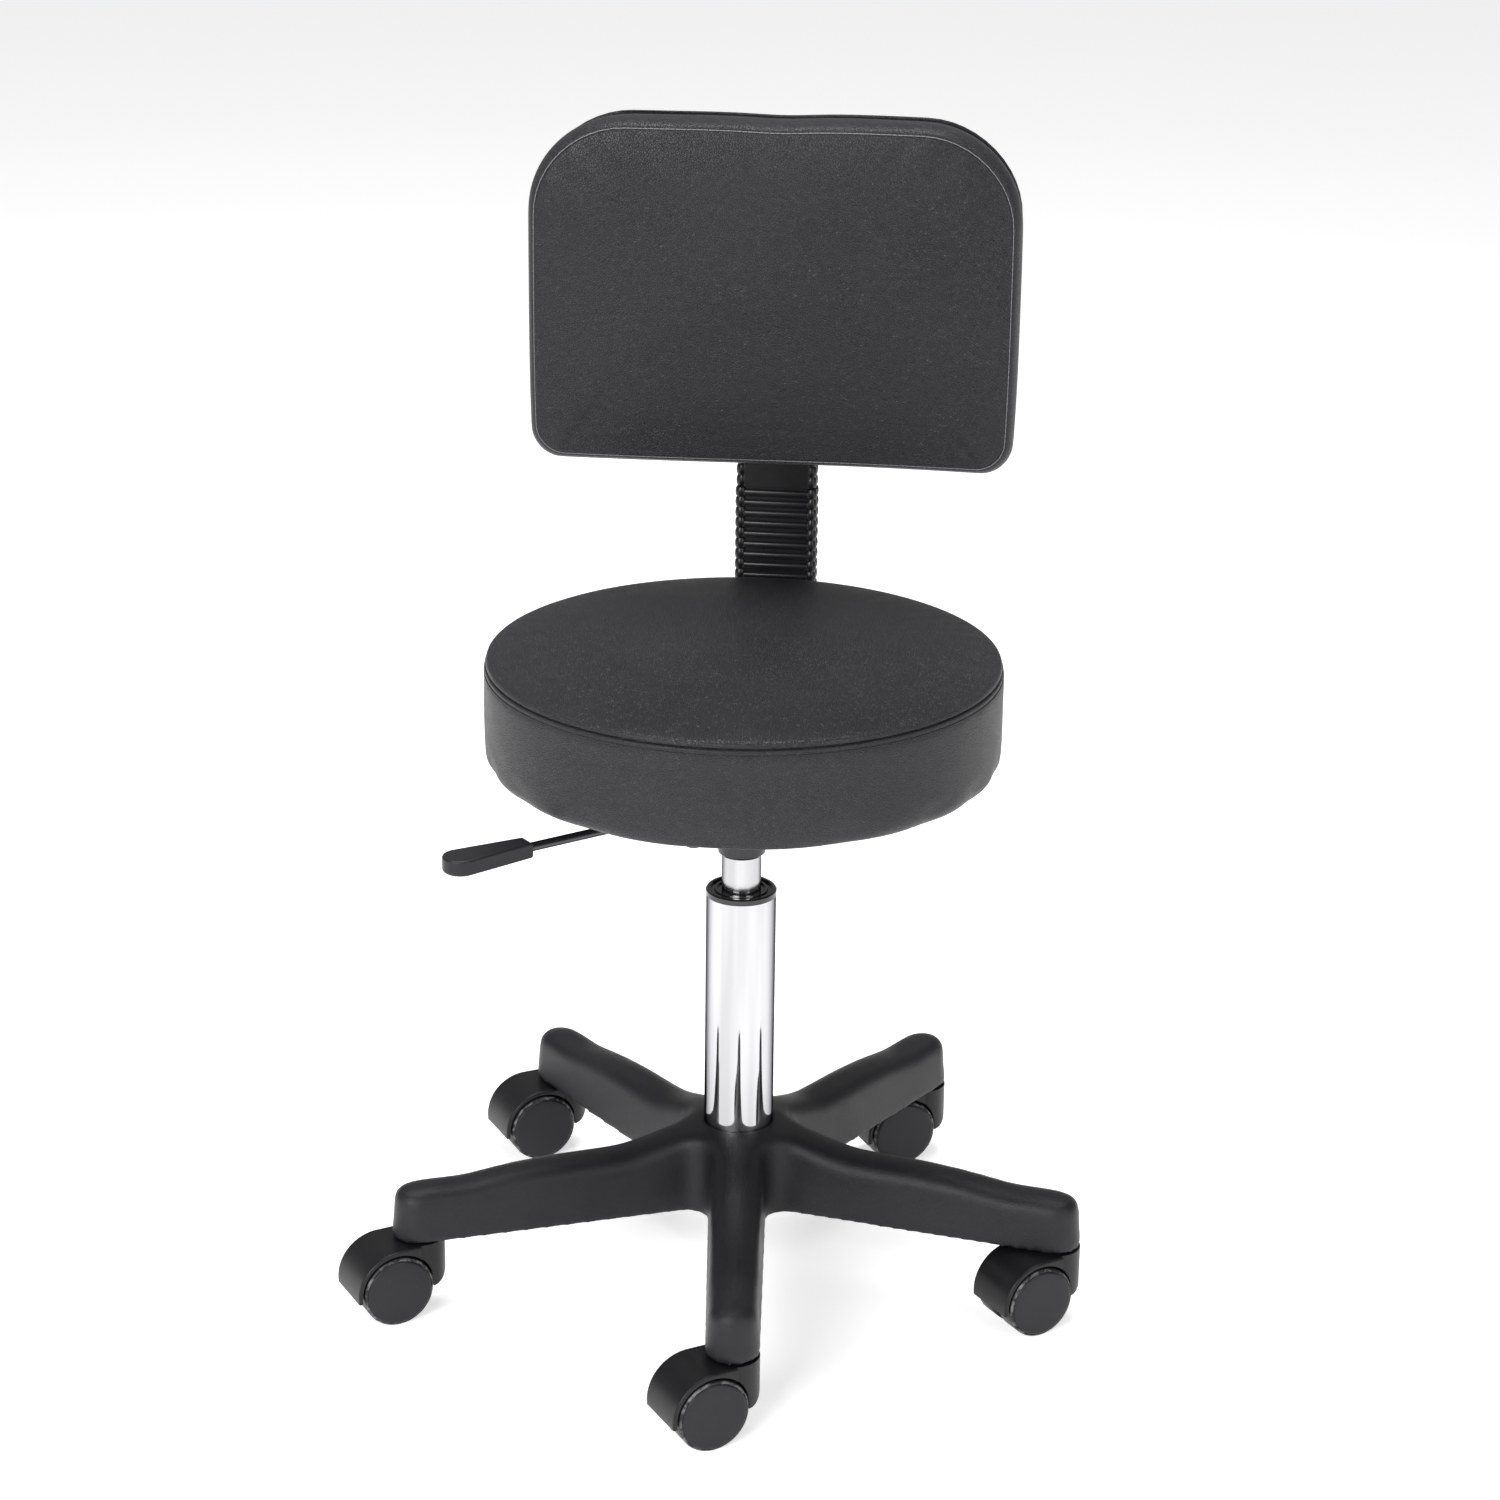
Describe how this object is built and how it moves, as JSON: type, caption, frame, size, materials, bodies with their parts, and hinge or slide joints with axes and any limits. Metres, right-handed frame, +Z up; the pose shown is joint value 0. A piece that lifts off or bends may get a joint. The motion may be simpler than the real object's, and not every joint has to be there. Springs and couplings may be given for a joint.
{
  "type": "adjustable swivel stool",
  "caption": "Round padded swivel stool with a padded backrest on a sleeved post, gas-lift chrome column, release lever and a star base on hooded twin-wheel casters.",
  "frame": {"origin": "on the column's axis, on the floor plane under the star base", "axes": "+Z up along the column; -Y is the way a sitter faces; the backrest stands on the +Y side"},
  "size_m": [0.5263, 0.5333, 0.8152],
  "materials": {
    "base_nylon": "fine pebble-textured moulded nylon",
    "hood_plastic": "satin moulded plastic",
    "wheel_nylon": "satin nylon, lightly scuffed tread",
    "chrome": "mirror chrome plating",
    "gloss_black": "glossy",
    "cylinder_steel": "satin bright steel",
    "bearing_steel": "ground steel",
    "black_steel": "satin black powder coat",
    "lever_steel": "glossy black plating",
    "zinc_fastener": "zinc plated",
    "rubber": "matte",
    "vinyl": "leather-grain vinyl, low sheen",
    "foam": "open-cell foam",
    "dust_cloth": "non-woven cloth",
    "plywood": "plain ply",
    "bellows_plastic": "satin flexible plastic",
    "lever_plastic": "satin moulded plastic"
  },
  "bodies": {
    "base": {"star_base": "base_nylon", "outer_tube": "chrome", "guide_bush": "gloss_black", "lower_race": "bearing_steel", "bearing_balls": "bearing_steel", "caster_stems": "bearing_steel"},
    "swivel_rod": {"piston_rod": "bearing_steel", "piston": "bearing_steel", "upper_race": "bearing_steel", "rubber_buffer": "rubber", "rod_clip": "bearing_steel"},
    "seat_unit": {"gas_cylinder": "cylinder_steel", "rod_guide": "hood_plastic", "cone_socket": "black_steel", "mechanism_plate": "black_steel", "fulcrum_pin": "bearing_steel", "seat_bolts": "zinc_fastener", "seat_t_nuts": "zinc_fastener", "seat_board": "plywood", "seat_foam": "foam", "seat_top_cover": "vinyl", "seat_side_cover": "vinyl", "dust_cover": "dust_cloth", "j_bar": "black_steel", "bar_bolts": "zinc_fastener", "post_bellows": "bellows_plastic", "bar_end_cap": "hood_plastic"},
    "lever": {"lever_rod": "lever_steel", "lever_paddle": "lever_plastic"},
    "valve_pin": {"release_pin": "bearing_steel"},
    "backrest": {"back_board": "plywood", "back_foam": "foam", "back_cover": "vinyl", "back_rear_panel": "vinyl", "back_bracket": "black_steel", "bracket_bolts": "zinc_fastener", "clamp_nut": "zinc_fastener", "bellows_collar": "bellows_plastic"},
    "knob": {"clamp_knob": "lever_plastic", "clamp_screw": "zinc_fastener"},
    "caster_1": {"caster_hood_1": "hood_plastic", "caster_axle_1": "bearing_steel"},
    "caster_1_left": {"wheel_left_1": "wheel_nylon"},
    "caster_1_right": {"wheel_right_1": "wheel_nylon"},
    "caster_2": {"caster_hood_2": "hood_plastic", "caster_axle_2": "bearing_steel"},
    "caster_2_left": {"wheel_left_2": "wheel_nylon"},
    "caster_2_right": {"wheel_right_2": "wheel_nylon"},
    "caster_3": {"caster_hood_3": "hood_plastic", "caster_axle_3": "bearing_steel"},
    "caster_3_left": {"wheel_left_3": "wheel_nylon"},
    "caster_3_right": {"wheel_right_3": "wheel_nylon"},
    "caster_4": {"caster_hood_4": "hood_plastic", "caster_axle_4": "bearing_steel"},
    "caster_4_left": {"wheel_left_4": "wheel_nylon"},
    "caster_4_right": {"wheel_right_4": "wheel_nylon"},
    "caster_5": {"caster_hood_5": "hood_plastic", "caster_axle_5": "bearing_steel"},
    "caster_5_left": {"wheel_left_5": "wheel_nylon"},
    "caster_5_right": {"wheel_right_5": "wheel_nylon"}
  },
  "joints": [
    {"name": "swivel", "type": "hinge", "parent": "base", "child": "swivel_rod", "pos_m": [0, 0, 0.066], "axis": [0, 0, 1], "continuous": true},
    {"name": "seat_lift", "type": "slide", "parent": "swivel_rod", "child": "seat_unit", "axis": [0, 0, 1], "range_m": [0, 0.12]},
    {"name": "lever_tilt", "type": "hinge", "parent": "seat_unit", "child": "lever", "pos_m": [-0.03437, -0.02905, 0.365], "axis": [-0.6455, 0.7638, 0], "range_deg": [0, 3.18], "stiffness_Nm_per_rad": 12},
    {"name": "pin_press", "type": "slide", "parent": "seat_unit", "child": "valve_pin", "axis": [0, 0, -1], "range_m": [0, 0.0025]},
    {"name": "back_height", "type": "slide", "parent": "seat_unit", "child": "backrest", "axis": [0, 0, 1], "range_m": [-0.04, 0], "deforming": ["post_bellows"]},
    {"name": "knob_turn", "type": "hinge", "parent": "backrest", "child": "knob", "pos_m": [0, 0.24, 0.641], "axis": [0, 1, 0], "range_deg": [0, 360]},
    {"name": "caster_swivel_1", "type": "hinge", "parent": "base", "child": "caster_1", "pos_m": [0.0241, -0.23728, 0.05], "axis": [0, 0, 1], "continuous": true},
    {"name": "wheel_roll_left_1", "type": "hinge", "parent": "caster_1", "child": "caster_1_left", "pos_m": [0.00421, -0.2507, 0.026], "axis": [-0.5592, 0.829, 0], "continuous": true},
    {"name": "wheel_roll_right_1", "type": "hinge", "parent": "caster_1", "child": "caster_1_right", "pos_m": [0.00421, -0.2507, 0.026], "axis": [-0.5592, 0.829, 0], "continuous": true},
    {"name": "caster_swivel_2", "type": "hinge", "parent": "base", "child": "caster_2", "pos_m": [0.23311, -0.0504, 0.05], "axis": [0, 0, 1], "continuous": true},
    {"name": "wheel_roll_left_2", "type": "hinge", "parent": "caster_2", "child": "caster_2_left", "pos_m": [0.21395, -0.06484, 0.026], "axis": [-0.6018, 0.7986, 0], "continuous": true},
    {"name": "wheel_roll_right_2", "type": "hinge", "parent": "caster_2", "child": "caster_2_right", "pos_m": [0.21395, -0.06484, 0.026], "axis": [-0.6018, 0.7986, 0], "continuous": true},
    {"name": "caster_swivel_3", "type": "hinge", "parent": "base", "child": "caster_3", "pos_m": [0.11997, 0.20613, 0.05], "axis": [0, 0, 1], "continuous": true},
    {"name": "wheel_roll_left_3", "type": "hinge", "parent": "caster_3", "child": "caster_3_left", "pos_m": [0.0994, 0.19377, 0.026], "axis": [-0.515, 0.8572, 0], "continuous": true},
    {"name": "wheel_roll_right_3", "type": "hinge", "parent": "caster_3", "child": "caster_3_right", "pos_m": [0.0994, 0.19377, 0.026], "axis": [-0.515, 0.8572, 0], "continuous": true},
    {"name": "caster_swivel_4", "type": "hinge", "parent": "base", "child": "caster_4", "pos_m": [-0.15897, 0.1778, 0.05], "axis": [0, 0, 1], "continuous": true},
    {"name": "wheel_roll_left_4", "type": "hinge", "parent": "caster_4", "child": "caster_4_left", "pos_m": [-0.17932, 0.16508, 0.026], "axis": [-0.5299, 0.848, 0], "continuous": true},
    {"name": "wheel_roll_right_4", "type": "hinge", "parent": "caster_4", "child": "caster_4_right", "pos_m": [-0.17932, 0.16508, 0.026], "axis": [-0.5299, 0.848, 0], "continuous": true},
    {"name": "caster_swivel_5", "type": "hinge", "parent": "base", "child": "caster_5", "pos_m": [-0.21822, -0.09625, 0.05], "axis": [0, 0, 1], "continuous": true},
    {"name": "wheel_roll_left_5", "type": "hinge", "parent": "caster_5", "child": "caster_5_left", "pos_m": [-0.23811, -0.10967, 0.026], "axis": [-0.5592, 0.829, 0], "continuous": true},
    {"name": "wheel_roll_right_5", "type": "hinge", "parent": "caster_5", "child": "caster_5_right", "pos_m": [-0.23811, -0.10967, 0.026], "axis": [-0.5592, 0.829, 0], "continuous": true}
  ],
  "couplings": [
    {"joint": "pin_press", "follows": "lever_tilt", "m_per_rad": 0.045}
  ]
}
